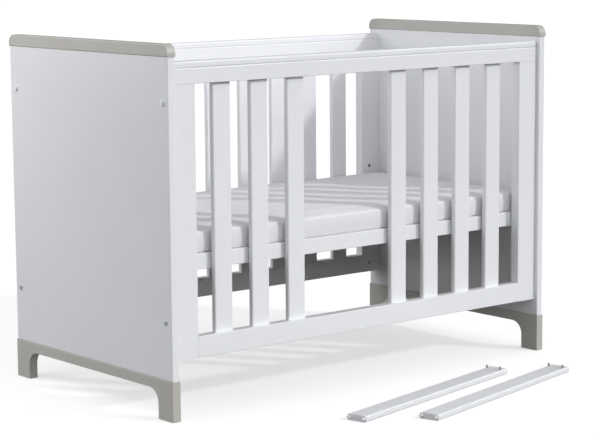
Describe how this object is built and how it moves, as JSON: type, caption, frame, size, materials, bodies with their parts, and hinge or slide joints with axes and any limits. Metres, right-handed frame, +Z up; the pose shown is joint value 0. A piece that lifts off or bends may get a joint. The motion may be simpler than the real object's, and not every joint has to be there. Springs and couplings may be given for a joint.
{
  "type": "baby crib",
  "caption": "Rectangular baby crib with solid end panels, slatted sides, a height-adjustable slatted base with a mattress, and removable bars lying beside it.",
  "frame": {"origin": "on the floor, at the middle of the bounding box of the crib and its loose bars", "axes": "+X along the crib's length, +Y away from the side with the removed bars, +Z up"},
  "size_m": [1.2514, 1.078, 0.884],
  "materials": {
    "white_lacquer": "satin white lacquer on wood and fibreboard",
    "taupe_lacquer": "satin warm grey lacquer on fibreboard",
    "bare_beech": "bare sanded beech",
    "zinc_steel": "bright zinc plated steel",
    "white_plastic": "moulded satin plastic",
    "mattress_cloth": "white woven cotton cover"
  },
  "bodies": {
    "crib_frame": {"left_end_panel": "white_lacquer", "right_end_panel": "white_lacquer", "left_top_cap": "taupe_lacquer", "right_top_cap": "taupe_lacquer", "left_leg_board": "taupe_lacquer", "right_leg_board": "taupe_lacquer", "front_top_rail": "white_lacquer", "front_bottom_rail": "white_lacquer", "front_left_stile": "white_lacquer", "front_right_stile": "white_lacquer", "back_top_rail": "white_lacquer", "back_bottom_rail": "white_lacquer", "back_left_stile": "white_lacquer", "back_right_stile": "white_lacquer", "front_slat_1": "white_lacquer", "front_slat_2": "white_lacquer", "front_slat_3": "white_lacquer", "front_slat_6": "white_lacquer", "front_slat_7": "white_lacquer", "front_slat_8": "white_lacquer", "front_slat_9": "white_lacquer", "back_slat_1": "white_lacquer", "back_slat_2": "white_lacquer", "back_slat_3": "white_lacquer", "back_slat_4": "white_lacquer", "back_slat_5": "white_lacquer", "back_slat_6": "white_lacquer", "back_slat_7": "white_lacquer", "back_slat_8": "white_lacquer", "back_slat_9": "white_lacquer", "snap_sockets": "white_plastic", "front_frame_dowels": "bare_beech", "back_frame_dowels": "bare_beech", "end_dowels": "bare_beech", "frame_bolts": "zinc_steel", "frame_inserts": "zinc_steel", "bolt_caps": "white_plastic", "level_inserts": "zinc_steel"},
    "base": {"base_front_rail": "white_lacquer", "base_back_rail": "white_lacquer", "base_left_rail": "white_lacquer", "base_right_rail": "white_lacquer", "deck_slat_1": "bare_beech", "deck_slat_2": "bare_beech", "deck_slat_3": "bare_beech", "deck_slat_4": "bare_beech", "deck_slat_5": "bare_beech", "deck_slat_6": "bare_beech", "deck_slat_7": "bare_beech", "deck_slat_8": "bare_beech", "deck_slat_9": "bare_beech", "base_bolts": "zinc_steel", "base_screws": "zinc_steel"},
    "mattress": {"mattress": "mattress_cloth"},
    "loose_bar_1": {"loose_bar_1": "white_lacquer", "bar_1_studs": "zinc_steel", "bar_1_pins": "white_plastic"},
    "loose_bar_2": {"loose_bar_2": "white_lacquer", "bar_2_studs": "zinc_steel", "bar_2_pins": "white_plastic"}
  },
  "joints": [
    {"name": "base_height", "type": "slide", "parent": "crib_frame", "child": "base", "axis": [0, 0, 1], "range_m": [-0.192, 0.096]},
    {"name": "mattress_lift", "type": "slide", "parent": "base", "child": "mattress", "axis": [0, 0, 1], "range_m": [0, 0.5]},
    {"name": "bar_1_lift", "type": "slide", "parent": "crib_frame", "child": "loose_bar_1", "axis": [0, 0, 1], "range_m": [0, 0.3]},
    {"name": "bar_2_lift", "type": "slide", "parent": "crib_frame", "child": "loose_bar_2", "axis": [0, 0, 1], "range_m": [0, 0.3]}
  ]
}
